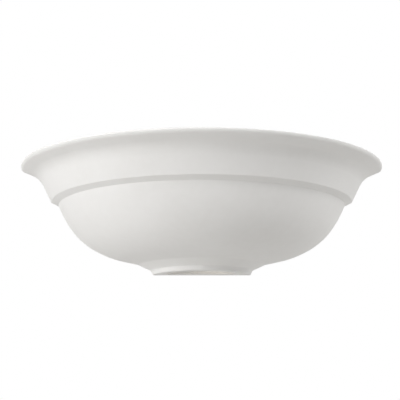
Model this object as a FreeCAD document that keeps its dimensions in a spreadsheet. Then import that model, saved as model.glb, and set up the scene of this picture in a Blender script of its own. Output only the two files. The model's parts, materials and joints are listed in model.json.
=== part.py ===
import FreeCAD, Part
import math
import os
import Sketcher
from FreeCAD import Placement, Rotation, Vector

# Ceramic half-bowl uplighter wall light, in millimetres.
# Frame: origin on the wall face at the middle of the two fixing slots, +X to the right as seen from
# the room, +Y into the wall, +Z up. The wall face is the plane y = 0 and everything is in front of it.

DIMENSIONS = {
    # shade: outer outline as corners (radius from its axis, height over the foot) and their rounds
    "axis_behind_wall": 10.0,
    "rim_radius": 170.8,
    "shade_height": 102.0,
    "rim_lower_radius": 169.4,
    "rim_underside": 98.5,
    "rim_top_round": 1.2,
    "rim_lower_round": 4.0,
    "neck_radius": 152.6,
    "neck_height": 91.2,
    "neck_round": 19.0,
    "arris_radius": 141.4,
    "arris_height": 68.4,
    "arris_round": 1.5,
    "ledge_radius": 134.6,
    "ledge_height": 65.1,
    "ledge_round": 1.2,
    "high_bowl_radius": 127.5,
    "high_bowl_height": 50.4,
    "high_bowl_round": 90.0,
    "mid_bowl_radius": 113.1,
    "mid_bowl_height": 29.4,
    "mid_bowl_round": 70.0,
    "low_bowl_radius": 84.2,
    "low_bowl_height": 14.9,
    "low_bowl_round": 90.0,
    "shoulder_radius": 60.0,
    "shoulder_height": 9.7,
    "shoulder_round": 6.0,
    "lip_radius": 48.5,
    "lip_height": 4.3,
    "lip_round": 2.5,
    "foot_radius": 46.4,
    "foot_round": 1.6,
    # shade: hollow, foot opening and the window in its back wall
    "wall": 6.5,
    "mouth_round": 3.0,
    "inner_neck_round": 14.0,
    "inner_ledge_round": 12.0,
    "floor_height": 12.0,
    "floor_round": 4.0,
    "foot_bore": 39.5,
    "bore_edge_round": 1.3,
    "inner_corner_round": 4.5,
    "fixing_height": 60.0,
    "window_width": 128.0,
    "window_height": 36.0,
    "window_round": 8.0,
    # wall bracket, its studs and the plate that they clamp
    "sheet": 1.5,
    "bracket_length": 122.0,
    "bracket_height": 30.0,
    "bracket_depth": 4.0,
    "bend": 2.5,
    "slot_spacing": 66.0,
    "slot_length": 20.0,
    "slot_width": 5.0,
    "cable_hole": 8.0,
    "grommet_hole": 7.0,
    "grommet_bore": 4.2,
    "grommet_radius": 9.5,
    "grommet_lip": 1.5,
    "stud_spacing": 104.0,
    "stud_radius": 2.5,
    "stud_end": 21.0,
    "stud_collar_radius": 4.0,
    "stud_collar_height": 1.2,
    "gasket": 1.0,
    "gasket_inset": 3.0,
    "gasket_lap": 2.0,
    "plate_width": 192.0,
    "plate_height": 58.0,
    "plate_round": 10.0,
    "flange_width": 164.0,
    "flange_depth": 6.5,
    "end_height": 53.0,
    "stud_clearance": 2.75,
    "washer_radius": 5.0,
    "washer_height": 1.0,
    "nut_radius": 6.5,
    "nut_height": 8.0,
    "nut_edge": 0.5,
    "nut_flutes": 16,
    "flute_radius": 0.8,
    # lampholder
    "lamp_out": 56.0,
    "arm_left": 77.0,
    "arm_width": 34.0,
    "foot_length": 13.5,
    "rivet_x": 84.0,
    "rivet_z": 9.0,
    "rivet_radius": 2.0,
    "holder_screw_spacing": 24.0,
    "holder_length": 46.0,
    "holder_base_radius": 22.5,
    "holder_base_height": 16.0,
    "holder_step": 3.0,
    "holder_edge": 2.0,
    "holder_barrel_radius": 19.5,
    "holder_bore": 14.0,
    "holder_floor": 17.0,
    "terminal_well_radius": 17.0,
    "terminal_well_depth": 10.0,
    "shell_bore": 13.3,
    "shell_wall": 0.5,
    "contact_hole": 3.0,
    "contact_width": 6.0,
    "contact_reach": 7.0,
    "contact_gap": 0.4,
    "holder_screw_radius": 1.9,
    "holder_screw_hole": 2.1,
    "holder_screw_length": 9.5,
    "holder_head_radius": 3.6,
    "holder_head_height": 2.4,
    "holder_screw_slot": 0.9,
    "post_radius": 4.2,
    "notch_width": 11.5,
    "notch_depth": 8.5,
    "terminal_width": 4.6,
    "terminal_height": 7.5,
    "terminal_near": 2.0,
    "terminal_far": 9.0,
    # lamp, along its own axis from the contact's tip
    "lamp_seat": 19.7,
    "lamp_length": 108.0,
    "bulb_radius": 30.0,
    "tip_radius": 4.5,
    "tip_height": 1.2,
    "cap_radius": 13.1,
    "cap_wall": 0.6,
    "cap_start": 6.0,
    "cap_end": 26.0,
    "lamp_neck_radius": 14.2,
    "lamp_body_radius": 28.6,
    "lamp_body_end": 64.0,
    "lamp_body_wall": 1.6,
    "lamp_spigot": 6.0,
    "lamp_neck_length": 9.0,
    "lamp_flare": 18.0,
    "lamp_rim_band": 4.0,
    "lamp_rim_round": 9.0,
    "board_seat": 3.0,
    "board_height": 1.6,
    "diffuser_wall": 1.0,
    # terminal block and wiring
    "block_x": 79.0,
    "block_width": 30.0,
    "block_height": 19.0,
    "block_depth": 15.0,
    "pole_pitch": 9.5,
    "tube_out": 7.0,
    "tube_radius": 2.4,
    "tube_bore": 1.6,
    "tube_length": 14.0,
    "clamp_spacing": 8.4,
    "clamp_screw_radius": 1.25,
    "clamp_screw_length": 3.6,
    "clamp_head_radius": 1.8,
    "clamp_head_height": 1.6,
    "clamp_screw_slot": 0.5,
    "well_radius": 2.0,
    "pole_gap": 1.8,
    "pole_gap_depth": 6.0,
    "block_screw_radius": 1.5,
    "block_head_radius": 2.8,
    "block_head_height": 2.0,
    "block_screw_slot": 0.7,
    "block_seat_radius": 3.0,
    "block_seat_depth": 6.0,
    "lead_radius": 1.3,
    "lead_line": 11.8,
    "low_lead_z": 21.0,
    "high_lead_z": 24.2,
    "lead_pair": 7.2,
    "clip_x": -20.0,
    "clip_length": 6.0,
    "clip_edge": 0.8,
    "clip_play": 0.15,
    "clip_pin_radius": 1.4,
    "earth_x": 44.0,
    "earth_z": 14.0,
    "earth_screw_radius": 2.0,
    "earth_screw_grip": 3.8,
    "earth_head_radius": 3.7,
    "earth_head_height": 2.5,
    "earth_screw_slot": 1.0,
    "tag_radius": 4.0,
    "tag_sheet": 0.8,
    "barrel_offset": 6.0,
    "barrel_length": 6.0,
    "barrel_radius": 2.0,
}

# From each outer corner of the shade into the ceramic, as shares (inward, upward) of the wall.
INTO_CERAMIC = {
    "low_bowl": (0.33, 0.95),
    "mid_bowl": (0.68, 0.78),
    "high_bowl": (0.87, 0.50),
    "ledge": (0.75, 0.75),
    "neck": (0.75, 0.75),
}

# Places that several pieces share, as expressions of the sheet.
PLATE_BACK = "dims.wall + dims.gasket"
PLATE_FRONT = "dims.wall + dims.gasket + dims.sheet"
STUD_SIDES = ("-dims.stud_spacing / 2", "dims.stud_spacing / 2")
HOLDER_REAR = "-dims.arm_left + dims.sheet"
LAMP_TIP = HOLDER_REAR + " + dims.lamp_seat"
POLES = ("dims.block_x - dims.pole_pitch", "dims.block_x", "dims.block_x + dims.pole_pitch")
BLOCK_SCREWS = ("dims.block_x - dims.pole_pitch / 2", "dims.block_x + dims.pole_pitch / 2")
BLOCK_FRONT = PLATE_FRONT + " + dims.block_depth"
TUBE_LINE = PLATE_FRONT + " + dims.tube_out"
BARREL_START = "dims.earth_x + dims.barrel_offset"
CLIP_PIN_HEIGHT = "(dims.low_lead_z + dims.high_lead_z) / 2"

TOUCHING = 1e-4
FACING_ROOM = Rotation(Vector(1, 0, 0), 90)
ALONG_LAMP = Rotation(Vector(0, 1, 0), 90)
FACING_LEFT = Rotation(Vector(0, 1, 0), -90)

doc = FreeCAD.newDocument("wall_uplighter")
sheet = doc.addObject("Spreadsheet::Sheet", "dims")
for row, (alias, size) in enumerate(DIMENSIONS.items(), start=1):
    sheet.set("A%d" % row, alias)
    sheet.set("B%d" % row, str(size))
    sheet.setAlias("B%d" % row, alias)
doc.recompute()

subparts = []


def value(name):
    return DIMENSIONS[name]


def kept(thing):
    """Mark an object as a piece of the light that is exported."""
    subparts.append(thing)
    return thing


def placed(thing, x="0", y="0", z="0", turn=None):
    """Turn a piece and bind its place to the sheet."""
    thing.Placement = Placement(Vector(), turn if turn else Rotation())
    for axis, text in (("x", x), ("y", y), ("z", z)):
        thing.setExpression("Placement.Base." + axis, text)
    return thing


# --- sketches -------------------------------------------------------------------------------------

def sketch_on(body, role, name, offset=None):
    """A sketch on one of the body's own origin planes, lifted along the plane's normal."""
    plane = [item for item in body.Origin.OriginFeatures if item.Role == role][0]
    sketch = body.newObject("Sketcher::SketchObject", body.Name + "_" + name)
    sketch.AttachmentSupport = [(plane, "")]
    sketch.MapMode = "FlatFace"
    if offset:
        sketch.setExpression("AttachmentOffset.Base.z", offset)
    return sketch


def number(sketch, text):
    return float(sketch.evalExpression(text))


def constrain(sketch, text, *terms):
    """Add a dimension and bind it to an expression."""
    index = sketch.addConstraint(Sketcher.Constraint(*terms, number(sketch, text)))
    sketch.setExpression("Constraints[%d]" % index, text)


def bind_point(sketch, geometry, x, y, point=1):
    """Hold a geometry's start (1) or centre (3) at the expressions x and y."""
    for kind, text, axis in (("DistanceX", x, -2), ("DistanceY", y, -1)):
        if abs(number(sketch, text)) < TOUCHING:
            sketch.addConstraint(Sketcher.Constraint("PointOnObject", geometry, point, axis))
        else:
            constrain(sketch, text, kind, -1, 1, geometry, point)


def circle(sketch, x, y, radius):
    centre = Vector(number(sketch, x), number(sketch, y), 0)
    ring = Part.Circle(centre, Vector(0, 0, 1), number(sketch, radius))
    index = sketch.addGeometry(ring, False)
    bind_point(sketch, index, x, y, point=3)
    constrain(sketch, radius, "Radius", index)


def corner_round(point, back, ahead, radius):
    """Where a round of this radius leaves the two edges at a corner, and its centre."""
    toward_back = (back - point).normalize()
    toward_ahead = (ahead - point).normalize()
    half = toward_back.getAngle(toward_ahead) / 2
    reach = radius / math.tan(half)
    middle = (toward_back + toward_ahead).normalize()
    centre = point + middle * (radius / math.sin(half))
    return point + toward_back * reach, point + toward_ahead * reach, centre


def add_round(sketch, entry, leave, centre, radius):
    """Draw the arc of a rounded corner; returns it with its entry and leaving ends."""
    counterclockwise = (entry - centre).cross(leave - centre).z > 0
    first, last = (entry, leave) if counterclockwise else (leave, entry)
    angles = [math.atan2(end.y - centre.y, end.x - centre.x) for end in (first, last)]
    full = Part.Circle(centre, Vector(0, 0, 1), radius)
    arc = sketch.addGeometry(Part.ArcOfCircle(full, *angles), False)
    return (arc, 1, 2) if counterclockwise else (arc, 2, 1)


def outline(sketch, corners):
    """A closed outline through corners (x, y) or (x, y, round), each one an expression."""
    spots = [Vector(number(sketch, c[0]), number(sketch, c[1]), 0) for c in corners]
    count = len(corners)
    entries, leaves, centres = list(spots), list(spots), [None] * count
    for i, corner in enumerate(corners):
        if len(corner) == 3:
            ahead = spots[(i + 1) % count]
            found = corner_round(spots[i], spots[i - 1], ahead, number(sketch, corner[2]))
            entries[i], leaves[i], centres[i] = found
    edges = []
    for i in range(count):
        following = (i + 1) % count
        if (entries[following] - leaves[i]).dot(spots[following] - spots[i]) <= 0:
            raise ValueError("%s: the rounds after corner %d meet" % (sketch.Name, i))
        edge = Part.LineSegment(leaves[i], entries[following])
        edges.append(sketch.addGeometry(edge, False))
    for i, corner in enumerate(corners):
        before, after = edges[i - 1], edges[i]
        if len(corner) == 2:
            sketch.addConstraint(Sketcher.Constraint("Coincident", before, 2, after, 1))
            bind_point(sketch, after, corner[0], corner[1])
            continue
        radius = number(sketch, corner[2])
        arc, start, end = add_round(sketch, entries[i], leaves[i], centres[i], radius)
        sketch.addConstraint(Sketcher.Constraint("Tangent", before, 2, arc, start))
        sketch.addConstraint(Sketcher.Constraint("Tangent", arc, end, after, 1))
        constrain(sketch, corner[2], "Radius", arc)
        tip = sketch.addGeometry(Part.Point(spots[i]), True)
        sketch.addConstraint(Sketcher.Constraint("PointOnObject", tip, 1, before))
        sketch.addConstraint(Sketcher.Constraint("PointOnObject", tip, 1, after))
        bind_point(sketch, tip, corner[0], corner[1])


def rounded_rectangle(sketch, width, height, radius, x="0", y="0"):
    """A rounded rectangle about the point x, y."""
    left, right = "%s - (%s) / 2" % (x, width), "%s + (%s) / 2" % (x, width)
    low, high = "%s - (%s) / 2" % (y, height), "%s + (%s) / 2" % (y, height)
    corners = [(left, low), (right, low), (right, high), (left, high)]
    outline(sketch, [corner + (radius,) for corner in corners])


def rectangle(sketch, left, right, low, high):
    outline(sketch, [(left, low), (right, low), (right, high), (left, high)])


def slot(sketch, x, y, length, width):
    """A slot along X: two straight sides and two half circles."""
    x0, y0 = number(sketch, x), number(sketch, y)
    radius = number(sketch, width) / 2
    half = number(sketch, length) / 2 - radius
    up = Vector(0, 0, 1)
    right = Part.Circle(Vector(x0 + half, y0, 0), up, radius)
    left = Part.Circle(Vector(x0 - half, y0, 0), up, radius)
    cap_right = sketch.addGeometry(Part.ArcOfCircle(right, -math.pi / 2, math.pi / 2), False)
    top = Part.LineSegment(Vector(x0 + half, y0 + radius, 0), Vector(x0 - half, y0 + radius, 0))
    side_top = sketch.addGeometry(top, False)
    cap_left = sketch.addGeometry(Part.ArcOfCircle(left, math.pi / 2, 3 * math.pi / 2), False)
    base = Part.LineSegment(Vector(x0 - half, y0 - radius, 0), Vector(x0 + half, y0 - radius, 0))
    side_base = sketch.addGeometry(base, False)
    ring = [cap_right, side_top, cap_left, side_base]
    for piece, following in zip(ring, ring[1:] + ring[:1]):
        sketch.addConstraint(Sketcher.Constraint("Tangent", piece, 2, following, 1))
    sketch.addConstraint(Sketcher.Constraint("Horizontal", side_top))
    constrain(sketch, "(%s) / 2" % width, "Radius", cap_right)
    reach = "((%s) - (%s)) / 2" % (length, width)
    for cap, sign in ((cap_right, "+"), (cap_left, "-")):
        constrain(sketch, "%s %s %s" % (x, sign, reach), "DistanceX", -1, 1, cap, 3)
    sketch.addConstraint(Sketcher.Constraint("PointOnObject", cap_right, 3, -1))


# --- features -------------------------------------------------------------------------------------

def new_body(name):
    return doc.addObject("PartDesign::Body", name)


def pad(body, sketch, length):
    feature = body.newObject("PartDesign::Pad", sketch.Name + "_pad")
    feature.Profile = sketch
    feature.setExpression("Length", length)
    doc.recompute()


def pocket(body, sketch, length, forward=False):
    """Cut against the sketch's normal, or along it when forward."""
    before = body.Shape.Volume
    feature = body.newObject("PartDesign::Pocket", sketch.Name + "_pocket")
    feature.Profile = sketch
    feature.Reversed = forward
    feature.setExpression("Length", length)
    doc.recompute()
    if body.Shape.Volume > before - TOUCHING:
        raise RuntimeError(feature.Name + " cuts nothing")
    return feature


def fillet(body, radius, is_wanted):
    """Round the edges of the body whose bounding boxes are wanted."""
    base = body.Tip
    edges = enumerate(base.Shape.Edges, start=1)
    names = ["Edge%d" % i for i, edge in edges if is_wanted(edge.BoundBox)]
    feature = body.newObject("PartDesign::Fillet", body.Name + "_rounds")
    feature.Base = (base, names)
    feature.setExpression("Radius", radius)
    doc.recompute()


def revolve(body, sketch):
    feature = body.newObject("PartDesign::Revolution", sketch.Name + "_turn")
    feature.Profile = sketch
    feature.ReferenceAxis = (sketch, ["V_Axis"])
    feature.Angle = 360
    doc.recompute()


def turned(name, corners):
    """A body turned about its local Z from an outline of radius and height."""
    body = new_body(name)
    sketch = sketch_on(body, "XZ_Plane", "outline")
    outline(sketch, corners)
    revolve(body, sketch)
    return body


def group(name, make_one, places, turn):
    """Identical pieces in one node, each placed by its own expressions."""
    members = []
    for i, (x, y, z) in enumerate(places, start=1):
        members.append(placed(make_one("%s_%d" % (name, i)), x, y, z, turn))
    whole = doc.addObject("Part::Compound", name)
    whole.Links = members
    return kept(whole)


def screw(name, shank_radius, length, head_radius, head_height, slot_width):
    """A slotted pan-head screw: the head's underside is at local z = 0 and the shank points down."""
    body = turned(name, [
        ("0", "-(%s)" % length),
        (shank_radius, "-(%s)" % length),
        (shank_radius, "0"),
        (head_radius, "0"),
        (head_radius, head_height, "0.35 * " + head_height),
        ("0", head_height),
    ])
    groove = sketch_on(body, "XY_Plane", "groove", head_height)
    reach, half = "1.2 * " + head_radius, slot_width + " / 2"
    rectangle(groove, "-" + reach, reach, "-" + half, half)
    pocket(body, groove, "0.45 * " + head_height)
    return body


# --- shade ----------------------------------------------------------------------------------------

def inner_corner(name, rounding):
    """A corner of the hollow: the outer corner of this name moved into the ceramic."""
    inward, upward = INTO_CERAMIC[name]
    across = "dims.%s_radius - %s * dims.wall" % (name, inward)
    height = "dims.%s_height + %s * dims.wall" % (name, upward)
    return (across, height, rounding)


def shade_blank():
    """The solid outer form, cut flat by the wall, with the window sunk into its back."""
    body = turned("shade_blank", [
        ("0", "dims.shade_height"),
        ("dims.rim_radius", "dims.shade_height", "dims.rim_top_round"),
        ("dims.rim_lower_radius", "dims.rim_underside", "dims.rim_lower_round"),
        ("dims.neck_radius", "dims.neck_height", "dims.neck_round"),
        ("dims.arris_radius", "dims.arris_height", "dims.arris_round"),
        ("dims.ledge_radius", "dims.ledge_height", "dims.ledge_round"),
        ("dims.high_bowl_radius", "dims.high_bowl_height", "dims.high_bowl_round"),
        ("dims.mid_bowl_radius", "dims.mid_bowl_height", "dims.mid_bowl_round"),
        ("dims.low_bowl_radius", "dims.low_bowl_height", "dims.low_bowl_round"),
        ("dims.shoulder_radius", "dims.shoulder_height", "dims.shoulder_round"),
        ("dims.lip_radius", "dims.lip_height", "dims.lip_round"),
        ("dims.foot_radius", "0", "dims.foot_round"),
        ("0", "0"),
    ])
    behind = sketch_on(body, "XY_Plane", "behind_wall", "dims.shade_height + 1")
    reach = "1.1 * dims.rim_radius"
    rectangle(behind, "-" + reach, reach, "-dims.axis_behind_wall", reach)
    pocket(body, behind, "dims.shade_height + 2")
    window = sketch_on(body, "XZ_Plane", "window", "dims.axis_behind_wall")
    size = ("dims.window_width", "dims.window_height", "dims.window_round")
    rounded_rectangle(window, *size, y="dims.fixing_height")
    pocket(body, window, "dims.wall + 2", forward=True)
    return body


def shade_core():
    """The hollow: it follows the outside at the wall's thickness and opens the mouth and the foot."""
    beyond = "1.1 * dims.rim_radius"
    body = turned("shade_core", [
        ("0", "-dims.wall"),
        ("dims.foot_bore + 3 * dims.wall", "-dims.wall"),
        ("dims.foot_bore + 3 * dims.wall", "0"),
        ("dims.foot_bore", "0", "dims.bore_edge_round"),
        ("dims.foot_bore", "dims.floor_height", "dims.floor_round"),
        inner_corner("low_bowl", "dims.low_bowl_round - dims.wall"),
        inner_corner("mid_bowl", "dims.mid_bowl_round - dims.wall"),
        inner_corner("high_bowl", "dims.high_bowl_round - dims.wall"),
        inner_corner("ledge", "dims.inner_ledge_round"),
        inner_corner("neck", "dims.inner_neck_round"),
        ("dims.rim_radius - 1.05 * dims.wall", "dims.shade_height", "dims.mouth_round"),
        (beyond, "dims.shade_height"),
        (beyond, "dims.shade_height + dims.wall"),
        ("0", "dims.shade_height + dims.wall"),
    ])
    back = sketch_on(body, "XY_Plane", "back_wall", "dims.shade_height + 2 * dims.wall")
    reach = "1.2 * dims.rim_radius"
    rectangle(back, "-" + reach, reach, "-dims.axis_behind_wall - dims.wall", reach)
    pocket(body, back, "dims.shade_height + 4 * dims.wall")
    return body


def round_back_corners(body):
    """Round the hollow where it meets the back wall; the upright edges at the foot lead the round."""
    plane = -(value("axis_behind_wall") + value("wall"))

    def is_wanted(box):
        on_plane = abs(box.YMin - plane) < TOUCHING and abs(box.YMax - plane) < TOUCHING
        upright = box.XLength < TOUCHING and 0 < box.ZMin and box.ZMax < value("floor_height")
        return on_plane and upright

    fillet(body, "dims.inner_corner_round", is_wanted)


def ceramic_shade():
    blank = shade_blank()
    core = shade_core()
    round_back_corners(core)
    shade = doc.addObject("Part::Cut", "ceramic_shade")
    shade.Base = blank
    shade.Tool = core
    placed(shade, y="dims.axis_behind_wall", z="-dims.fixing_height")
    doc.recompute()
    if len(shade.Shape.Solids) != 1:
        raise RuntimeError("the shade is in %d pieces" % len(shade.Shape.Solids))
    return kept(shade)


# --- wall bracket ---------------------------------------------------------------------------------

def bent_channel(body, length, height, depth, back="0"):
    """Sheet steel bent to a channel along X: its web's rear face is at the distance back from y = 0."""
    section = sketch_on(body, "YZ_Plane", "section", "-(%s) / 2" % length)
    top, low = "(%s) / 2" % height, "-(%s) / 2" % height
    web_rear, web_front = "-(%s)" % back, "-(%s) - dims.sheet" % back
    edge = "-(%s) - (%s)" % (back, depth)
    inner_bend = "dims.bend - dims.sheet"
    outline(section, [
        (web_rear, low, "dims.bend"),
        (web_rear, top, "dims.bend"),
        (edge, top),
        (edge, top + " - dims.sheet"),
        (web_front, top + " - dims.sheet", inner_bend),
        (web_front, low + " + dims.sheet", inner_bend),
        (edge, low + " + dims.sheet"),
        (edge, low),
    ])
    pad(body, section, length)


def wall_bracket():
    """Channel-section strap with two slots, a cable hole and two stud holes."""
    body = new_body("wall_bracket")
    bent_channel(body, "dims.bracket_length", "dims.bracket_height", "dims.bracket_depth")
    holes = sketch_on(body, "XZ_Plane", "holes")
    circle(holes, "0", "0", "dims.cable_hole")
    for side in ("-", ""):
        slot(holes, side + "dims.slot_spacing / 2", "0", "dims.slot_length", "dims.slot_width")
        circle(holes, side + "dims.stud_spacing / 2", "0", "dims.stud_radius")
    pocket(body, holes, "1.5 * dims.sheet", forward=True)
    return kept(body)


def stud(name):
    """An M5 stud with a collar that seats on the strap; its rear end is flush with the wall face."""
    collar_end = "dims.sheet + dims.stud_collar_height"
    return turned(name, [
        ("0", "0"),
        ("dims.stud_radius", "0"),
        ("dims.stud_radius", "dims.sheet"),
        ("dims.stud_collar_radius", "dims.sheet"),
        ("dims.stud_collar_radius", collar_end),
        ("dims.stud_radius", collar_end),
        ("dims.stud_radius", "dims.stud_end", "0.3 * dims.stud_radius"),
        ("0", "dims.stud_end"),
    ])


# --- clamping plate -------------------------------------------------------------------------------

def shade_gasket():
    body = new_body("shade_gasket")
    face = sketch_on(body, "XZ_Plane", "face", "dims.wall")
    width, height = "dims.plate_width", "dims.plate_height"
    inset = " - 2 * dims.gasket_inset"
    rounded_rectangle(face, width + inset, height + inset, "dims.plate_round - dims.gasket_inset")
    width, height = "dims.window_width", "dims.window_height"
    spread = " + 2 * dims.gasket_lap"
    rounded_rectangle(face, width + spread, height + spread, "dims.window_round")
    pad(body, face, "dims.gasket")
    return kept(body)


def carrier_plate():
    """The plate that clamps the shade: flanged along its top and bottom, with flat rounded ends."""
    body = new_body("carrier_plate")
    bent_channel(body, "dims.flange_width", "dims.plate_height", "dims.flange_depth", PLATE_BACK)
    ends = sketch_on(body, "XZ_Plane", "ends", PLATE_BACK)
    rounded_rectangle(ends, "dims.plate_width", "dims.end_height", "dims.plate_round")
    pad(body, ends, "dims.sheet")
    holes = sketch_on(body, "XZ_Plane", "holes", PLATE_BACK)
    circle(holes, "0", "0", "dims.grommet_hole")
    circle(holes, "dims.earth_x", "dims.earth_z", "dims.earth_screw_radius")
    circle(holes, "dims.clip_x", CLIP_PIN_HEIGHT, "dims.clip_pin_radius")
    for place in STUD_SIDES:
        circle(holes, place, "0", "dims.stud_clearance")
    for place in BLOCK_SCREWS:
        circle(holes, place, "0", "dims.block_screw_radius")
    for side in ("-", ""):
        circle(holes, "-dims.rivet_x", side + "dims.rivet_z", "dims.rivet_radius")
    pocket(body, holes, "1.5 * dims.sheet", forward=True)
    return kept(body)


def carrier_grommet():
    """Rubber grommet: two lips and a groove that holds the plate's edge."""
    lip, outer, groove = "dims.grommet_lip", "dims.grommet_radius", "dims.grommet_hole"
    body = turned("carrier_grommet", [
        ("dims.grommet_bore", "-" + lip),
        (outer, "-" + lip, "0.4 * " + lip),
        (outer, "0"),
        (groove, "0"),
        (groove, "dims.sheet"),
        (outer, "dims.sheet"),
        (outer, "dims.sheet + " + lip, "0.4 * " + lip),
        ("dims.grommet_bore", "dims.sheet + " + lip),
    ])
    return kept(placed(body, y="-(%s)" % PLATE_BACK, turn=FACING_ROOM))


def washer(name, bore, radius, height):
    return turned(name, [(bore, "0"), (radius, "0"), (radius, height), (bore, height)])


def stud_washer(name):
    return washer(name, "dims.stud_clearance", "dims.washer_radius", "dims.washer_height")


def thumb_nut(name):
    """A thumb nut: a shoulder that bears on the washer and a head with flutes round it."""
    shoulder = "0.25 * dims.nut_height"
    body = turned(name, [
        ("dims.stud_radius", "0"),
        ("0.72 * dims.nut_radius", "0"),
        ("0.72 * dims.nut_radius", shoulder),
        ("dims.nut_radius", shoulder, "dims.nut_edge"),
        ("dims.nut_radius", "dims.nut_height", "dims.nut_edge"),
        ("dims.stud_radius", "dims.nut_height"),
    ])
    flute = sketch_on(body, "XY_Plane", "flute", "dims.nut_height")
    circle(flute, "dims.nut_radius + 0.5 * dims.flute_radius", "0", "dims.flute_radius")
    first = pocket(body, flute, "dims.nut_height - " + shoulder)
    ring = body.newObject("PartDesign::PolarPattern", name + "_flutes")
    ring.Originals = [first]
    ring.Axis = (flute, ["N_Axis"])
    ring.setExpression("Occurrences", "dims.nut_flutes")
    body.Tip = ring
    doc.recompute()
    return body


# --- lampholder -----------------------------------------------------------------------------------

def lampholder_bracket():
    """Steel angle: its foot is riveted to the plate and its arm carries the lampholder."""
    body = new_body("lampholder_bracket")
    plan = sketch_on(body, "XY_Plane", "plan", "-dims.arm_width / 2")
    left = "-dims.arm_left - dims.foot_length"
    arm_right = "-dims.arm_left + dims.sheet"
    front = "-(%s)" % PLATE_FRONT
    arm_end = "-dims.lamp_out - dims.arm_width / 2"
    outline(plan, [
        (left, front),
        (arm_right, front, "dims.bend"),
        (arm_right, arm_end),
        ("-dims.arm_left", arm_end),
        ("-dims.arm_left", front + " - dims.sheet", "dims.bend - dims.sheet"),
        (left, front + " - dims.sheet"),
    ])
    pad(body, plan, "dims.arm_width")
    foot_holes = sketch_on(body, "XZ_Plane", "foot_holes", PLATE_FRONT + " + dims.sheet")
    arm_holes = sketch_on(body, "YZ_Plane", "arm_holes", arm_right)
    for side in ("-", ""):
        circle(foot_holes, "-dims.rivet_x", side + "dims.rivet_z", "dims.rivet_radius")
        screw_height = side + "dims.holder_screw_spacing / 2"
        circle(arm_holes, "-dims.lamp_out", screw_height, "dims.holder_screw_hole")
    pocket(body, foot_holes, "1.5 * dims.sheet")
    pocket(body, arm_holes, "1.5 * dims.sheet")
    far = -value("lamp_out") - value("arm_width") / 2

    def is_wanted(box):
        at_end = abs(box.YMin - far) < TOUCHING and abs(box.YMax - far) < TOUCHING
        return at_end and box.ZLength < TOUCHING

    fillet(body, "0.46 * dims.arm_width", is_wanted)
    return kept(body)


def rivet(name):
    """A rivet set flush behind the plate, with a domed head on the bracket's foot."""
    grip, head = "2 * dims.sheet", "1.8 * dims.rivet_radius"
    top = grip + " + 0.75 * dims.rivet_radius"
    return turned(name, [
        ("0", "0"),
        ("dims.rivet_radius", "0"),
        ("dims.rivet_radius", grip),
        (head, grip),
        (head, top, "0.7 * dims.rivet_radius"),
        ("0", top),
    ])


def lampholder_body():
    """Porcelain body: a terminal well behind, two screw posts in it and a bore for the screw shell."""
    well, depth = "dims.terminal_well_radius", "dims.terminal_well_depth"
    base_top = "dims.holder_base_height"
    post_places = [side + "dims.holder_screw_spacing / 2" for side in ("-", "")]
    body = turned("lampholder_body", [
        ("dims.contact_hole", depth),
        (well, depth),
        (well, "0"),
        ("dims.holder_base_radius", "0"),
        ("dims.holder_base_radius", base_top, "dims.holder_edge"),
        ("dims.holder_barrel_radius", base_top + " + dims.holder_step", "0.75 * dims.holder_edge"),
        ("dims.holder_barrel_radius", "dims.holder_length", "dims.holder_edge"),
        ("dims.holder_bore", "dims.holder_length", "0.5 * dims.holder_edge"),
        ("dims.holder_bore", "dims.holder_floor"),
        ("dims.contact_hole", "dims.holder_floor"),
    ])
    posts = sketch_on(body, "XY_Plane", "posts")
    holes = sketch_on(body, "XY_Plane", "post_holes")
    for place in post_places:
        circle(posts, place, "0", "dims.post_radius")
        circle(holes, place, "0", "dims.holder_screw_radius")
    pad(body, posts, depth + " + 0.5")
    pocket(body, holes, depth, forward=True)
    notch = sketch_on(body, "XY_Plane", "lead_notch")
    half = "dims.notch_width / 2"
    rectangle(notch, "-" + half, half, "0.8 * " + well, "1.1 * dims.holder_base_radius")
    pocket(body, notch, "dims.notch_depth", forward=True)
    return kept(placed(body, HOLDER_REAR, "-dims.lamp_out", "0", ALONG_LAMP))


def lampholder_shell():
    """The screw shell that the lamp cap turns into, with its rim turned in at the bottom."""
    outer, turned_in = "dims.shell_bore + dims.shell_wall", "0.7 * dims.shell_bore"
    floor, mouth = "dims.holder_floor", "dims.holder_length - 4 * dims.shell_wall"
    body = turned("lampholder_shell", [
        (turned_in, floor),
        (outer, floor, "dims.shell_wall"),
        (outer, mouth),
        ("dims.shell_bore", mouth),
        ("dims.shell_bore", floor + " + dims.shell_wall"),
        (turned_in, floor + " + dims.shell_wall"),
    ])
    return kept(placed(body, HOLDER_REAR, "-dims.lamp_out", "0", ALONG_LAMP))


def lampholder_contact():
    """The centre spring: a strip that rises from the floor to just under the lamp's contact."""
    body = new_body("lampholder_contact")
    side = sketch_on(body, "XZ_Plane", "side", "-dims.contact_width / 2")
    floor, tip = "dims.holder_floor", "dims.lamp_seat - dims.contact_gap"
    reach = "dims.contact_reach"
    outline(side, [
        ("-" + reach, floor),
        ("-0.2 * " + reach, floor, "2"),
        (reach, tip + " - dims.shell_wall"),
        (reach, tip),
        ("-0.22 * " + reach, floor + " + dims.shell_wall", "1.5"),
        ("-" + reach, floor + " + dims.shell_wall"),
    ])
    pad(body, side, "dims.contact_width")
    return kept(placed(body, HOLDER_REAR, "-dims.lamp_out", "0", ALONG_LAMP))


def holder_screw(name):
    return screw(name, "dims.holder_screw_radius", "dims.holder_screw_length",
                 "dims.holder_head_radius", "dims.holder_head_height", "dims.holder_screw_slot")


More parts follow.
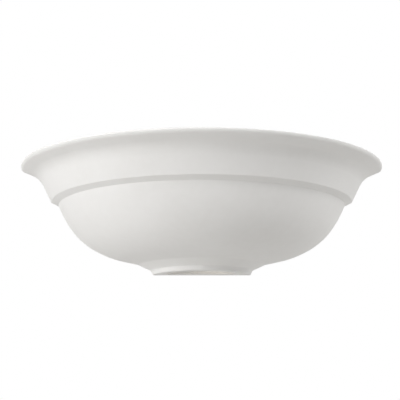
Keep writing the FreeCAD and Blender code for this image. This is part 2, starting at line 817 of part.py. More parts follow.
def lampholder_terminals():
    """Two brass terminals in the rear well, where the leads end."""
    body = new_body("lampholder_terminals")
    foot = sketch_on(body, "XY_Plane", "foot", "dims.terminal_well_depth - dims.terminal_height")
    near, far = "dims.terminal_near", "dims.terminal_far"
    for side in ("-", ""):
        middle = side + "dims.lead_pair / 2"
        left, right = middle + " - dims.terminal_width / 2", middle + " + dims.terminal_width / 2"
        rectangle(foot, left, right, near, far)
    pad(body, foot, "dims.terminal_height")
    return kept(placed(body, HOLDER_REAR, "-dims.lamp_out", "0", ALONG_LAMP))


# --- terminal block and earth ---------------------------------------------------------------------

def terminal_block():
    """Three-pole block: bores for the tubes, wells over their screws, gaps between the poles and
    two counterbored fixings in the gaps."""
    body = new_body("terminal_block")
    foot = sketch_on(body, "XZ_Plane", "foot", PLATE_FRONT)
    rounded_rectangle(foot, "dims.block_width", "dims.block_height", "dims.sheet", x="dims.block_x")
    pad(body, foot, "dims.block_depth")
    bores = sketch_on(body, "XY_Plane", "bores", "dims.block_height / 2 + 1")
    wells = sketch_on(body, "XZ_Plane", "wells", BLOCK_FRONT)
    for pole in POLES:
        circle(bores, pole, "-(%s)" % TUBE_LINE, "dims.tube_radius")
        for side in ("-", ""):
            circle(wells, pole, side + "dims.clamp_spacing / 2", "dims.well_radius")
    pocket(body, bores, "dims.block_height + 2")
    pocket(body, wells, "dims.block_depth - dims.tube_out")
    gaps = sketch_on(body, "XZ_Plane", "gaps", BLOCK_FRONT)
    seats = sketch_on(body, "XZ_Plane", "seats", BLOCK_FRONT)
    fixings = sketch_on(body, "XZ_Plane", "fixings", BLOCK_FRONT)
    for place in BLOCK_SCREWS:
        left, right = place + " - dims.pole_gap / 2", place + " + dims.pole_gap / 2"
        rectangle(gaps, left, right, "-dims.block_height", "dims.block_height")
        circle(seats, place, "0", "dims.block_seat_radius")
        circle(fixings, place, "0", "dims.block_screw_radius")
    pocket(body, gaps, "dims.pole_gap_depth")
    pocket(body, seats, "dims.block_seat_depth")
    pocket(body, fixings, "dims.block_depth + 1")
    return kept(body)


def terminal_tube(name):
    """A brass tube along Z with two holes for its clamping screws."""
    half = "dims.tube_length / 2"
    body = turned(name, [
        ("dims.tube_bore", "-" + half),
        ("dims.tube_radius", "-" + half),
        ("dims.tube_radius", half),
        ("dims.tube_bore", half),
    ])
    holes = sketch_on(body, "XZ_Plane", "screw_holes")
    for side in ("-", ""):
        circle(holes, "0", side + "dims.clamp_spacing / 2", "dims.clamp_screw_radius")
    pocket(body, holes, "1.5 * dims.tube_radius", forward=True)
    return body


def clamp_screw(name):
    return screw(name, "dims.clamp_screw_radius", "dims.clamp_screw_length",
                 "dims.clamp_head_radius", "dims.clamp_head_height", "dims.clamp_screw_slot")


def block_screw(name):
    length = "dims.sheet + dims.block_depth - dims.block_seat_depth"
    return screw(name, "dims.block_screw_radius", length,
                 "dims.block_head_radius", "dims.block_head_height", "dims.block_screw_slot")


def earth_tag():
    """A ring tag under the earth screw, with a crimped barrel that holds the earth lead."""
    body = new_body("earth_tag")
    ring = sketch_on(body, "XZ_Plane", "ring", PLATE_FRONT)
    circle(ring, "dims.earth_x", "dims.earth_z", "dims.tag_radius")
    circle(ring, "dims.earth_x", "dims.earth_z", "dims.earth_screw_radius")
    pad(body, ring, "dims.tag_sheet")
    neck = sketch_on(body, "XZ_Plane", "neck", PLATE_FRONT)
    start = "dims.earth_x + 0.75 * dims.tag_radius"
    half = "0.45 * dims.tag_radius"
    rectangle(neck, start, BARREL_START + " + 0.5", "dims.earth_z - " + half, "dims.earth_z + " + half)
    pad(body, neck, "dims.tag_sheet")
    barrel = sketch_on(body, "YZ_Plane", "barrel", BARREL_START)
    line = "-(%s + dims.barrel_radius)" % PLATE_FRONT
    circle(barrel, line, "dims.earth_z", "dims.barrel_radius")
    circle(barrel, line, "dims.earth_z", "dims.lead_radius")
    pad(body, barrel, "dims.barrel_length")
    return kept(body)


def earth_washer(name):
    return washer(name, "dims.earth_screw_radius", "1.05 * dims.tag_radius", "dims.tag_sheet")


def earth_screw(name):
    length = "dims.earth_screw_grip + 2 * dims.tag_sheet"
    return screw(name, "dims.earth_screw_radius", length,
                 "dims.earth_head_radius", "dims.earth_head_height", "dims.earth_screw_slot")


def lead_clip():
    """A nylon saddle: two leads pass through it and its pin fills a hole in the plate."""
    body = new_body("lead_clip")
    section = sketch_on(body, "YZ_Plane", "section", "dims.clip_x - dims.clip_length / 2")
    front = "-(%s)" % PLATE_FRONT
    low = "dims.low_lead_z - dims.lead_radius - dims.clip_edge"
    high = "dims.high_lead_z + dims.lead_radius + dims.clip_edge"
    far = "-dims.lead_line - dims.lead_radius - dims.clip_edge"
    edge = "dims.clip_edge"
    outline(section, [(far, low, edge), (front, low), (front, high), (far, high, edge)])
    for lead_z in ("dims.low_lead_z", "dims.high_lead_z"):
        circle(section, "-dims.lead_line", lead_z, "dims.lead_radius + dims.clip_play")
    pad(body, section, "dims.clip_length")
    pin = sketch_on(body, "XZ_Plane", "pin", PLATE_BACK)
    circle(pin, "dims.clip_x", CLIP_PIN_HEIGHT, "dims.clip_pin_radius")
    pad(body, pin, "dims.sheet + 0.2")
    return kept(body)


# --- leads ----------------------------------------------------------------------------------------

def routed_lead(name, points):
    """A round lead: straight runs between the points, joined by arcs as large as the runs allow."""
    spots = [Vector(*point) for point in points]
    edges, here, radii = [], spots[0], []
    for i in range(1, len(spots) - 1):
        back, ahead = spots[i - 1] - spots[i], spots[i + 1] - spots[i]
        turn = math.pi - back.getAngle(ahead)
        reach = 0.45 * min(back.Length, ahead.Length)
        entry = spots[i] + Vector(back).normalize() * reach
        leave = spots[i] + Vector(ahead).normalize() * reach
        radius = reach / math.tan(turn / 2)
        inward = (Vector(back).normalize() + Vector(ahead).normalize()).normalize()
        middle = spots[i] + inward * (radius / math.cos(turn / 2) - radius)
        edges.append(Part.LineSegment(here, entry).toShape())
        edges.append(Part.Arc(entry, middle, leave).toShape())
        here = leave
        radii.append(radius)
    edges.append(Part.LineSegment(here, spots[-1]).toShape())
    path = Part.Wire(edges)
    ring = Part.Wire(Part.Circle(spots[0], spots[1] - spots[0], value("lead_radius")).toShape())
    tube = path.makePipeShell([ring], True, False)
    expected = math.pi * value("lead_radius") ** 2 * path.Length
    print("%s: length %.1f, least bend radius %.1f, volume share %.4f"
          % (name, path.Length, min(radii), tube.Volume / expected))
    lead = doc.addObject("Part::Feature", name)
    lead.Shape = tube
    lead.Placement = Placement()
    return kept(lead)


def pole_route(pole, height):
    """From a terminal tube's upper end, up and over to the left at this height."""
    x = value("block_x") + pole * value("pole_pitch")
    tube_y = -(value("wall") + value("gasket") + value("sheet") + value("tube_out"))
    return [(x, tube_y, value("tube_length") / 2), (x, tube_y, height)]


def holder_lead(name, pole, height, side):
    """A lead from the block, along the plate through the clip and out to the lampholder's well.

    The points between are chosen by hand: low over the plate, then round to the well's notch."""
    line, middle = -value("lead_line"), value("clip_x")
    holder_rear, holder_y = value("sheet") - value("arm_left"), -value("lamp_out")
    entry_x = holder_rear + value("terminal_well_depth") - value("terminal_height") / 2
    entry_z = side * value("lead_pair") / 2
    points = pole_route(pole, height)
    points += [
        (middle + 62, line - 2.5, height - 0.6),
        (middle + 22, line, height),
        (middle - 18, line, height),
        (entry_x + 8, line - 1.0, height - 3),
        (entry_x, line - 12, entry_z + side * 1.5 + 3),
        (entry_x, holder_y + value("holder_base_radius") + 3, entry_z),
        (entry_x, holder_y + value("terminal_far"), entry_z),
    ]
    return routed_lead(name, points)


def lead_earth():
    barrel_y = -(value("wall") + value("gasket") + value("sheet") + value("barrel_radius"))
    start = value("earth_x") + value("barrel_offset")
    points = pole_route(-1, value("earth_z"))
    points[-1] = (points[-1][0] - 1.5, points[-1][1], value("earth_z"))
    points += [
        (start + value("barrel_length") + 5, barrel_y, value("earth_z")),
        (start + 1, barrel_y, value("earth_z")),
    ]
    return routed_lead("lead_earth", points)


# --- lamp -----------------------------------------------------------------------------------------

def lamp_piece(name, corners):
    return kept(placed(turned(name, corners), LAMP_TIP, "-dims.lamp_out", "0", ALONG_LAMP))


def lamp():
    """A screw-cap lamp whose own axis starts at the tip of its contact."""
    lamp_contact_end()
    lamp_housing()
    lamp_front()


def lamp_contact_end():
    """The contact, the insulator and the cap, which is rolled in over the insulator's rim."""
    cap, start, end = "dims.cap_radius", "dims.cap_start", "dims.cap_end"
    tip, tip_top = "dims.tip_radius", "dims.tip_height"
    seat, collar = cap + " - 1.8 * dims.cap_wall", start + " - 1"
    bore = cap + " - dims.cap_wall"
    lamp_piece("lamp_contact", [
        ("0", "0"),
        (tip, "0", "dims.tip_height / 2"),
        (tip, tip_top),
        ("0", tip_top),
    ])
    lamp_piece("lamp_insulator", [
        ("0", tip_top),
        (tip + " + 1", tip_top),
        (seat, collar),
        (seat, start),
        ("0", start),
    ])
    lamp_piece("lamp_cap", [
        (seat, collar),
        (bore, collar),
        (cap, start + " + 0.4", "dims.cap_wall"),
        (cap, end),
        (bore, end),
        (bore, start + " + 0.8"),
        (seat, start),
    ])


def lamp_housing():
    """The white housing: its spigot sits in the cap and its flare ends in a ledge for the board."""
    bore, end = "dims.cap_radius - dims.cap_wall", "dims.cap_end"
    neck, wide, rim = "dims.lamp_neck_radius", "dims.lamp_body_radius", "dims.lamp_body_end"
    inside, seat = wide + " - dims.lamp_body_wall", rim + " - dims.board_seat"
    throat, spigot = "dims.cap_radius - 4 * dims.cap_wall", end + " - dims.lamp_spigot"
    flare_start = end + " + dims.lamp_neck_length"
    lamp_piece("lamp_body", [
        (throat, spigot),
        (bore, spigot),
        (bore, end),
        (neck, end, "dims.cap_wall"),
        (neck + " + 1", flare_start, "dims.lamp_flare"),
        (wide, rim + " - dims.lamp_rim_band", "dims.lamp_rim_round"),
        (wide, rim),
        (inside, rim),
        (inside, seat),
        (inside + " - 2", seat),
        (neck + " - 1.2", flare_start + " + 3", "dims.lamp_flare - 6"),
        (throat, end + " + 3"),
    ])


def lamp_front():
    """The board that carries the light sources, and the opal dome over it."""
    wide, rim, skin = "dims.lamp_body_radius", "dims.lamp_body_end", "dims.diffuser_wall"
    board, seat = wide + " - 1.1 * dims.lamp_body_wall", rim + " - dims.board_seat"
    lamp_piece("lamp_led_board", [
        ("0", seat),
        (board, seat),
        (board, seat + " + dims.board_height"),
        ("0", seat + " + dims.board_height"),
    ])
    top, corner, crown = "dims.lamp_length", "dims.bulb_radius + 1", "0.95 * dims.bulb_radius"
    lamp_piece("lamp_diffuser", [
        (wide + " - 0.6 - " + skin, rim),
        (wide + " - 0.6", rim),
        (corner, top, crown),
        ("0", top),
        ("0", top + " - " + skin),
        (corner + " - " + skin, top + " - " + skin, crown + " - " + skin),
    ])


# --- the light ------------------------------------------------------------------------------------

ceramic_shade()
wall_bracket()
group("bracket_studs", stud, [(x, "0", "0") for x in STUD_SIDES], FACING_ROOM)
shade_gasket()
carrier_plate()
carrier_grommet()
washer_seat = "-(%s)" % PLATE_FRONT
group("stud_washers", stud_washer, [(x, washer_seat, "0") for x in STUD_SIDES], FACING_ROOM)
nut_seat = "-(%s + dims.washer_height)" % PLATE_FRONT
group("thumb_nuts", thumb_nut, [(x, nut_seat, "0") for x in STUD_SIDES], FACING_ROOM)
lampholder_bracket()
rivet_seat = "-(%s)" % PLATE_BACK
rivets = [("-dims.rivet_x", rivet_seat, side + "dims.rivet_z") for side in ("-", "")]
group("bracket_rivets", rivet, rivets, FACING_ROOM)
lampholder_body()
lampholder_shell()
lampholder_contact()
screw_heights = [side + "dims.holder_screw_spacing / 2" for side in ("-", "")]
holder_screws = [("-dims.arm_left", "-dims.lamp_out", z) for z in screw_heights]
group("lampholder_screws", holder_screw, holder_screws, FACING_LEFT)
lampholder_terminals()
terminal_block()
group("terminal_tubes", terminal_tube, [(x, "-(%s)" % TUBE_LINE, "0") for x in POLES], None)
clamp_seat = "-(%s + 1.08 * dims.tube_radius)" % TUBE_LINE
clamp_heights = [side + "dims.clamp_spacing / 2" for side in ("-", "")]
clamp_places = [(x, clamp_seat, z) for x in POLES for z in clamp_heights]
group("terminal_screws", clamp_screw, clamp_places, FACING_ROOM)
block_seat = "-(%s - dims.block_seat_depth)" % BLOCK_FRONT
group("terminal_block_screws", block_screw, [(x, block_seat, "0") for x in BLOCK_SCREWS], FACING_ROOM)
earth_tag()
tag_front = "-(%s + dims.tag_sheet)" % PLATE_FRONT
group("earth_washer", earth_washer, [("dims.earth_x", tag_front, "dims.earth_z")], FACING_ROOM)
washer_front = "-(%s + 2 * dims.tag_sheet)" % PLATE_FRONT
group("earth_screw", earth_screw, [("dims.earth_x", washer_front, "dims.earth_z")], FACING_ROOM)
lead_clip()
holder_lead("lead_live", 1, value("high_lead_z"), 1)
holder_lead("lead_neutral", 0, value("low_lead_z"), -1)
lead_earth()
lamp()
doc.recompute()

for thing in doc.Objects:
    if [state for state in thing.State if state in ("Invalid", "Error")]:
        raise RuntimeError("%s is %s" % (thing.Name, thing.State))
for piece in subparts:
    if piece.Shape.isNull() or not piece.Shape.isValid():
        raise RuntimeError(piece.Label + " has no valid shape")

os.makedirs("parts", exist_ok=True)
for piece in subparts:
    piece.Shape.exportStep("parts/%s.step" % piece.Label)
print("%d sub-parts" % len(subparts))
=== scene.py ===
import json
import math

import bmesh
import bpy
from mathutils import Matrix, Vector


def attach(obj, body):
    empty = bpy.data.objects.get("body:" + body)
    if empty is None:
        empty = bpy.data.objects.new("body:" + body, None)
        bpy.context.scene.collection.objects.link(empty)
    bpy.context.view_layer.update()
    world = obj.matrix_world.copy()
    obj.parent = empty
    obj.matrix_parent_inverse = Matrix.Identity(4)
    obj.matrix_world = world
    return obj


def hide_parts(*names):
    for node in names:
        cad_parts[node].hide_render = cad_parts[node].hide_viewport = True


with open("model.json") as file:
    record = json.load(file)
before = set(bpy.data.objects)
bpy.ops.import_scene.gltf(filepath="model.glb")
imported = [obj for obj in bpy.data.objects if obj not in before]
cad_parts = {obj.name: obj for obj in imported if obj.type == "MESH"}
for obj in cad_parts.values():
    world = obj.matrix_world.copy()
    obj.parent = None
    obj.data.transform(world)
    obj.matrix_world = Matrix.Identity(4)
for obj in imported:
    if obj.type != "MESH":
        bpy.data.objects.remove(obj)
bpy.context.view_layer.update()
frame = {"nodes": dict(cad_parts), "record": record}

MM = 0.001

# --- camera: below the bowl and square to the wall, as in the photograph ---------------------------

CAMERA_PLACE = Vector((-1.5, -1172.0, -211.2)) * MM
CAMERA_PITCH = math.radians(10.75)
CAMERA_LENS = 114.2
SENSOR_WIDTH = 36.0


def add_camera():
    data = bpy.data.cameras.new("camera")
    data.lens = CAMERA_LENS
    data.sensor_width = SENSOR_WIDTH
    camera = bpy.data.objects.new("camera", data)
    camera.location = CAMERA_PLACE
    camera.rotation_euler = (math.pi / 2 + CAMERA_PITCH, 0, 0)
    bpy.context.scene.collection.objects.link(camera)
    bpy.context.scene.camera = camera


# --- materials ------------------------------------------------------------------------------------

class Recipe:
    """A material made of nodes; every pattern is laid out in the object's own metres."""

    def __init__(self, name, roughness=0.5, **sockets):
        self.material = bpy.data.materials.new(name)
        self.material.use_nodes = True
        self.tree = self.material.node_tree
        self.shader = self.tree.nodes["Principled BSDF"]
        self.shader.inputs["Roughness"].default_value = roughness
        for label, level in sockets.items():
            self.shader.inputs[label.replace("_", " ")].default_value = level
        self.place = self.tree.nodes.new("ShaderNodeTexCoord").outputs["Object"]

    def node(self, kind, links=(), **settings):
        made = self.tree.nodes.new(kind)
        for key, setting in settings.items():
            setattr(made, key, setting)
        for label, source in dict(links).items():
            if isinstance(source, bpy.types.NodeSocket):
                self.tree.links.new(source, made.inputs[label])
            else:
                made.inputs[label].default_value = source
        return made

    def stretched(self, x=1.0, y=1.0, z=1.0):
        return self.node("ShaderNodeMapping", {"Vector": self.place, "Scale": (x, y, z)}).outputs[0]

    def noise(self, per_metre, detail=2.0, along=None):
        links = {"Vector": along or self.place, "Scale": per_metre, "Detail": detail}
        return self.node("ShaderNodeTexNoise", links).outputs["Fac"]

    def spots(self, per_metre, radius):
        """1 inside small round spots, one near the middle of each cell, and 0 between them."""
        cells = self.node("ShaderNodeTexVoronoi", {"Vector": self.place, "Scale": per_metre})
        return self.span(cells.outputs["Distance"], radius, 0.6 * radius, 0.0, 1.0)

    def span(self, source, low, high, to_low, to_high):
        links = {"Value": source, "From Min": low, "From Max": high, "To Min": to_low, "To Max": to_high}
        return self.node("ShaderNodeMapRange", links).outputs[0]

    def math(self, operation, first, second):
        return self.node("ShaderNodeMath", {0: first, 1: second}, operation=operation).outputs[0]

    def blend(self, share, first, second):
        links = {"Factor": share}
        made = self.node("ShaderNodeMix", links, data_type="RGBA")
        for index, tone in ((6, first), (7, second)):
            if isinstance(tone, bpy.types.NodeSocket):
                self.tree.links.new(tone, made.inputs[index])
            else:
                made.inputs[index].default_value = (*tone, 1)
        return made.outputs[2]

    def axis(self, letter):
        return self.node("ShaderNodeSeparateXYZ", {"Vector": self.place}).outputs[letter]

    def use(self, color=None, roughness=None):
        if color:
            self.tree.links.new(color, self.shader.inputs["Base Color"])
        if roughness:
            self.tree.links.new(roughness, self.shader.inputs["Roughness"])

    def relief(self, *layers):
        """Bumps from (height, depth in millimetres) pairs, each on top of the one before."""
        normal = None
        for height, depth in layers:
            links = {"Height": height, "Distance": depth * MM, "Strength": 1.0}
            if normal:
                links["Normal"] = normal
            normal = self.node("ShaderNodeBump", links).outputs[0]
        self.tree.links.new(normal, self.shader.inputs["Normal"])


def bisque():
    """Unglazed cast ceramic: cloudy off-white, sponged grain, a few specks, a ground back face."""
    made = Recipe("bisque_ceramic")
    cloud = made.noise(16, 3)
    sponge = made.noise(150, 3)
    grain = made.noise(2400, 2)
    body = made.blend(made.span(cloud, 0.3, 0.7, 0, 1), (0.79, 0.781, 0.764), (0.815, 0.807, 0.793))
    body = made.blend(made.span(sponge, 0.35, 0.75, 0, 0.5), body, (0.828, 0.821, 0.808))
    rare = made.math("MULTIPLY", made.spots(420, 0.06), made.span(made.noise(60), 0.52, 0.62, 0, 0.5))
    body = made.blend(rare, body, (0.55, 0.49, 0.42))
    ground = made.span(made.axis("Y"), -0.0008, -0.0002, 0, 1)
    body = made.blend(made.math("MULTIPLY", ground, 0.6), body, (0.74, 0.725, 0.695))
    made.use(body, made.span(sponge, 0.3, 0.7, 0.74, 0.88))
    scratches = made.math("MULTIPLY", made.noise(1, 2, made.stretched(60, 1, 900)), ground)
    made.relief((cloud, 0.5), (sponge, 0.05), (grain, 0.02), (scratches, 0.08))
    return made.material


def metal(name, light, dark, roughness, rolled=False):
    """Bare or plated metal: its tone and its roughness drift, and rolled sheet has a grain along X."""
    made = Recipe(name, Metallic=1.0)
    drift = made.noise(70, 3)
    made.use(made.blend(made.span(drift, 0.3, 0.7, 0, 1), dark, light))
    fine = made.noise(1, 2, made.stretched(40, 1600, 1600)) if rolled else made.noise(900, 3)
    wear = made.math("ADD", made.math("MULTIPLY", fine, 0.6), made.math("MULTIPLY", drift, 0.4))
    made.use(roughness=made.span(wear, 0.35, 0.65, *roughness))
    made.relief((fine, 0.006), (made.noise(240, 2), 0.01))
    return made.material


def moulded(name, light, dark, roughness, grain_depth=0.01, **sockets):
    """Moulded plastic, rubber or silicone with a fine skin texture and a slight drift of tone."""
    made = Recipe(name, **sockets)
    drift = made.noise(120, 3)
    made.use(made.blend(made.span(drift, 0.3, 0.7, 0, 1), dark, light))
    skin = made.noise(2600, 2)
    made.use(roughness=made.span(skin, 0.35, 0.65, *roughness))
    made.relief((drift, 0.03), (skin, grain_depth))
    return made.material


def striped_earth():
    """Green silicone with yellow bands that wind round it."""
    made = Recipe("green_silicone", Specular_IOR_Level=0.35)
    across = made.math("ADD", made.axis("X"), made.axis("Z"))
    wave = made.math("SINE", made.math("MULTIPLY", across, 2200), 0.0)
    bands = made.span(made.math("ADD", wave, made.noise(300)), 0.35, 0.65, 0, 1)
    made.use(made.blend(bands, (0.12, 0.36, 0.07), (0.78, 0.70, 0.08)))
    skin = made.noise(2600, 2)
    made.use(roughness=made.span(skin, 0.35, 0.65, 0.42, 0.55))
    made.relief((skin, 0.01))
    return made.material


def porcelain():
    """Thick white glaze: wavy where it pooled, with a few pin marks."""
    made = Recipe("porcelain", Coat_Weight=0.5, Coat_Roughness=0.05)
    pool = made.noise(90, 2)
    body = made.blend(made.span(pool, 0.3, 0.7, 0, 1), (0.90, 0.89, 0.86), (0.93, 0.925, 0.90))
    marks = made.spots(300, 0.05)
    made.use(made.blend(made.math("MULTIPLY", marks, 0.4), body, (0.55, 0.50, 0.44)))
    made.use(roughness=made.span(pool, 0.3, 0.7, 0.10, 0.2))
    made.relief((pool, 0.12), (marks, 0.03))
    return made.material


def board():
    """White solder mask with the faint pattern of the tracks under it."""
    made = Recipe("board_aluminium", Metallic=0.0, Specular_IOR_Level=0.45)
    tracks = made.node("ShaderNodeTexVoronoi", {"Vector": made.place, "Scale": 190.0},
                       distance="CHEBYCHEV").outputs["Distance"]
    made.use(made.blend(made.span(tracks, 0.42, 0.5, 0, 0.5), (0.86, 0.86, 0.85), (0.70, 0.72, 0.70)),
             made.span(made.noise(700), 0.3, 0.7, 0.3, 0.42))
    made.relief((made.span(tracks, 0.42, 0.5, 0, 1), 0.02))
    return made.material


def opal():
    """The lit dome: warm white, a little dimmer toward its rim."""
    made = Recipe("opal_plastic", roughness=0.42, Emission_Strength=LAMP_GLOW)
    drift = made.noise(60, 2)
    made.use(made.blend(drift, (0.95, 0.93, 0.89), (0.97, 0.955, 0.92)))
    depth = made.span(made.axis("X"), 0.006, 0.05, 0, 1)
    glow = made.blend(depth, (0.92, 0.82, 0.68), (1.0, 0.93, 0.82))
    made.tree.links.new(glow, made.shader.inputs["Emission Color"])
    made.use(roughness=made.span(drift, 0.3, 0.7, 0.38, 0.48))
    made.relief((made.noise(1800, 2), 0.008))
    return made.material


# --- threaded pieces --------------------------------------------------------------------------------

TURN_STEPS = 72


def thread_share(travel, angle, pitch, sharp):
    """How deep a thread is cut at this place, from 0 at a crest to 1 at a root."""
    phase = (travel / pitch - angle / (2 * math.pi)) % 1.0
    if sharp:
        return min(max(1.34 * abs(2 * phase - 1) - 0.17, 0.0), 1.0)
    return 0.5 - 0.5 * math.cos(2 * math.pi * phase)


def thread_rings(start, end, crest, depth, pitch, fade, sharp=False, rings_per_turn=10):
    """Rings (distance along the axis, radii round it) of a thread that fades out at both ends."""
    count = math.ceil((end - start) / pitch * rings_per_turn)
    rings = []
    for i in range(count + 1):
        travel = start + (end - start) * i / count
        grow = min((travel - start) / fade, (end - travel) / fade, 1.0)
        radii = []
        for k in range(TURN_STEPS):
            angle = 2 * math.pi * k / TURN_STEPS
            radii.append(crest - depth * grow * thread_share(travel, angle, pitch, sharp))
        rings.append((travel, radii))
    return rings


def plain_rings(*profile):
    return [(travel, [radius] * TURN_STEPS) for travel, radius in profile]


def add_skin(name, groups, closed):
    """A mesh through rings about one or more axes; closed joins the last ring to the first.

    Each group is (rings, origin, along, up): an axis from origin toward along, with angle 0 at up."""
    shape = bmesh.new()
    for rings, origin, along, up in groups:
        origin, along, up = Vector(origin), Vector(along), Vector(up)
        side = along.cross(up)
        loops = []
        for travel, radii in rings:
            loop = []
            for k, radius in enumerate(radii):
                angle = 2 * math.pi * k / TURN_STEPS
                out = up * math.cos(angle) + side * math.sin(angle)
                loop.append(shape.verts.new((origin + along * travel + out * radius) * MM))
            loops.append(loop)
        pairs = list(zip(loops, loops[1:]))
        if closed:
            pairs.append((loops[-1], loops[0]))
        for near, far in pairs:
            for k in range(TURN_STEPS):
                after = (k + 1) % TURN_STEPS
                shape.faces.new((near[k], near[after], far[after], far[k]))
        if not closed:
            shape.faces.new(loops[0])
            shape.faces.new(loops[-1])
    bmesh.ops.recalc_face_normals(shape, faces=shape.faces)
    for face in shape.faces:
        face.smooth = len(face.verts) == 4
    mesh = bpy.data.meshes.new(name)
    shape.to_mesh(mesh)
    shape.free()
    piece = bpy.data.objects.new(name, mesh)
    bpy.context.scene.collection.objects.link(piece)
    return piece


def dress(piece, node, body, slot):
    """Let a finished piece stand for a node, in the node's own finish."""
    piece.data.materials.append(MATERIALS[slot])
    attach(piece, body)
    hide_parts(node)


HOLDER_REAR = (-75.5, -56.0, 0.0)
LAMP_TIP = (-55.8, -56.0, 0.0)
ALONG_LAMP = (1.0, 0.0, 0.0)
UPWARD = (0.0, 0.0, 1.0)
CAP_PITCH = 3.63


def cap_with_thread():
    """The lamp's cap: rolled thread, then a plain band with a row of peened dimples."""
    outside = plain_rings((5.0, 12.02), (5.0, 12.45), (5.35, 12.8), (6.0, 13.0), (6.6, 13.05))
    outside += thread_rings(6.8, 20.0, 13.05, 0.72, CAP_PITCH, 1.4)
    outside += plain_rings((21.0, 13.05), (22.4, 13.05))
    for travel, depth in ((22.9, 0.12), (23.3, 0.3), (23.7, 0.3), (24.1, 0.12)):
        dimples = [depth * max(0.0, math.cos(8 * 2 * math.pi * k / TURN_STEPS)) ** 6
                   for k in range(TURN_STEPS)]
        outside.append((travel, [13.05 - dent for dent in dimples]))
    outside += plain_rings((24.6, 13.05), (25.8, 13.05), (26.0, 12.95))
    inside = plain_rings((26.0, 12.5), (20.0, 12.5), (19.8, 12.0), (6.6, 12.0), (6.0, 12.02))
    piece = add_skin("lamp_cap_threaded", [(outside + inside, LAMP_TIP, ALONG_LAMP, UPWARD)], True)
    dress(piece, "lamp_cap", "lamp", "lamp_cap_metal")


def shell_with_thread():
    """The lampholder's shell, rolled from sheet so that its thread shows on both faces."""
    lip = 9.31
    inside = plain_rings((17.4, lip), (17.4, 12.9), (18.0, 13.25))
    inside += thread_rings(18.4, 42.8, 13.56, 0.36, CAP_PITCH, 1.6)
    inside += plain_rings((43.6, 13.5), (44.0, 13.45))
    outside = [(travel, [radius + 0.28 for radius in radii]) for travel, radii in reversed(inside[3:])]
    outside += plain_rings((17.6, 13.4), (17.0, 12.9), (17.0, lip))
    piece = add_skin("lampholder_shell_threaded",
                     [(inside + outside, HOLDER_REAR, ALONG_LAMP, UPWARD)], True)
    dress(piece, "lampholder_shell", "fixture", "nickel_shell")


def studs_with_thread():
    """The two collared M5 studs."""
    rings = plain_rings((0.0, 2.5), (1.5, 2.5), (1.5, 4.0), (2.7, 4.0), (2.7, 2.5))
    rings += thread_rings(2.9, 20.4, 2.5, 0.45, 0.8, 0.5, sharp=True, rings_per_turn=6)
    rings += plain_rings((20.7, 2.2), (21.0, 1.8))
    groups = [(rings, (side * 52.0, 0.0, 0.0), (0.0, -1.0, 0.0), UPWARD) for side in (-1, 1)]
    piece = add_skin("bracket_studs_threaded", groups, False)
    dress(piece, "bracket_studs", "fixture", "zinc_steel")


# --- studio -----------------------------------------------------------------------------------------

FLOOR_HEIGHT = -1.4
FLOOR_HALF = 6.0
FLOOR_PALENESS = 0.6
AMBIENT = 0.11
LAMP_GLOW = 2.0
PANEL_DISTANCE = 2.2
PANEL_SIDE = 1.2
# name: (degrees to the right of straight ahead, degrees up, watts), as seen from the wall light
PANELS = {
    "key_left": (-45, 5, 28.5),
    "top_left": (-60, 60, 16.7),
    "side_left": (-80, 5, 10.1),
    "fill_right": (40, 35, 23.2),
    "side_right": (105, 5, 18.6),
    "behind": (180, 25, 15.3),
}


def add_panel(name, turn, height, watts):
    turn, height = math.radians(turn), math.radians(height)
    toward = Vector((math.sin(turn) * math.cos(height), -math.cos(turn) * math.cos(height), math.sin(height)))
    data = bpy.data.lights.new(name, "AREA")
    data.shape = "SQUARE"
    data.size = PANEL_SIDE
    data.energy = watts
    lamp = bpy.data.objects.new(name, data)
    lamp.location = toward * PANEL_DISTANCE
    lamp.rotation_euler = toward.to_track_quat("Z", "Y").to_euler()
    lamp.visible_camera = False
    bpy.context.scene.collection.objects.link(lamp)


def level_by_ray(tree, lit, seen):
    """One level where light reaches the object, another to the camera, to gloss and through glass."""
    path = tree.nodes.new("ShaderNodeLightPath")
    share = path.outputs["Is Camera Ray"]
    for ray in ("Is Transmission Ray", "Is Glossy Ray"):
        most = tree.nodes.new("ShaderNodeMath")
        most.operation = "MAXIMUM"
        tree.links.new(share, most.inputs[0])
        tree.links.new(path.outputs[ray], most.inputs[1])
        share = most.outputs[0]
    level = tree.nodes.new("ShaderNodeMapRange")
    level.inputs["To Min"].default_value = lit
    level.inputs["To Max"].default_value = seen
    tree.links.new(share, level.inputs["Value"])
    return level.outputs[0]


def white_world():
    world = bpy.data.worlds.new("studio")
    bpy.context.scene.world = world
    world.use_nodes = True
    background = world.node_tree.nodes["Background"]
    background.inputs["Color"].default_value = (1, 1, 1, 1)
    level = level_by_ray(world.node_tree, AMBIENT, 1.0)
    world.node_tree.links.new(level, background.inputs["Strength"])


def add_floor():
    mesh = bpy.data.meshes.new("floor")
    half, height = FLOOR_HALF, FLOOR_HEIGHT
    corners = [(-half, -half, height), (half, -half, height), (half, half, height), (-half, half, height)]
    mesh.from_pydata(corners, [], [(0, 1, 2, 3)])
    floor = bpy.data.objects.new("floor", mesh)
    bpy.context.scene.collection.objects.link(floor)
    made = Recipe("floor", roughness=0.9, Emission_Color=(1.0, 0.99, 0.98, 1.0))
    made.use(made.blend(made.noise(3), (0.86, 0.85, 0.83), (0.88, 0.87, 0.85)))
    paleness = level_by_ray(made.tree, 0.0, FLOOR_PALENESS)
    made.tree.links.new(paleness, made.shader.inputs["Emission Strength"])
    mesh.materials.append(made.material)


# --- the scene --------------------------------------------------------------------------------------

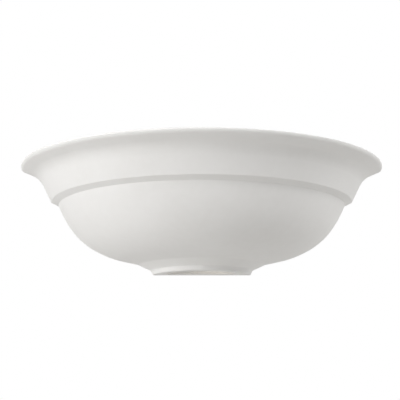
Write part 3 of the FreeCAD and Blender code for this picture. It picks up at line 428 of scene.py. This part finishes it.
MATERIALS = {
    "bisque_ceramic": bisque(),
    "zinc_steel": metal("zinc_steel", (0.68, 0.69, 0.71), (0.60, 0.62, 0.64), (0.26, 0.42), rolled=True),
    "rivet_aluminium": metal("rivet_aluminium", (0.75, 0.75, 0.76), (0.68, 0.68, 0.69), (0.32, 0.46)),
    "brass": metal("brass", (0.80, 0.63, 0.33), (0.70, 0.52, 0.26), (0.20, 0.36)),
    "tinned_brass": metal("tinned_brass", (0.76, 0.75, 0.71), (0.68, 0.66, 0.61), (0.28, 0.42)),
    "nickel_shell": metal("nickel_shell", (0.72, 0.70, 0.64), (0.62, 0.59, 0.53), (0.22, 0.36)),
    "lamp_cap_metal": metal("lamp_cap_metal", (0.80, 0.79, 0.76), (0.72, 0.71, 0.68), (0.24, 0.38)),
    "silicone": moulded("silicone", (0.82, 0.81, 0.78), (0.77, 0.76, 0.73), (0.55, 0.7)),
    "black_rubber": moulded("black_rubber", (0.055, 0.055, 0.055), (0.035, 0.035, 0.036), (0.55, 0.72)),
    "porcelain": porcelain(),
    "nylon": moulded("nylon", (0.91, 0.91, 0.88), (0.87, 0.87, 0.83), (0.38, 0.5)),
    "brown_silicone": moulded("brown_silicone", (0.26, 0.13, 0.07), (0.21, 0.10, 0.05), (0.42, 0.55)),
    "blue_silicone": moulded("blue_silicone", (0.06, 0.18, 0.46), (0.04, 0.14, 0.37), (0.42, 0.55)),
    "green_silicone": striped_earth(),
    "black_glass": moulded("black_glass", (0.035, 0.035, 0.04), (0.022, 0.022, 0.026), (0.08, 0.16),
                           0.002, Coat_Weight=0.4),
    "white_plastic": moulded("white_plastic", (0.905, 0.905, 0.895), (0.88, 0.88, 0.87), (0.36, 0.46)),
    "board_aluminium": board(),
    "opal_plastic": opal(),
}

add_camera()
white_world()
add_floor()
for name, panel in PANELS.items():
    add_panel(name, *panel)

for part in frame["record"]["subparts"]:
    for seat in frame["nodes"][part["node"]].material_slots:
        seat.material = MATERIALS[part["material_slot"]]

cap_with_thread()
shell_with_thread()
studs_with_thread()

bpy.context.scene.view_settings.view_transform = "Standard"
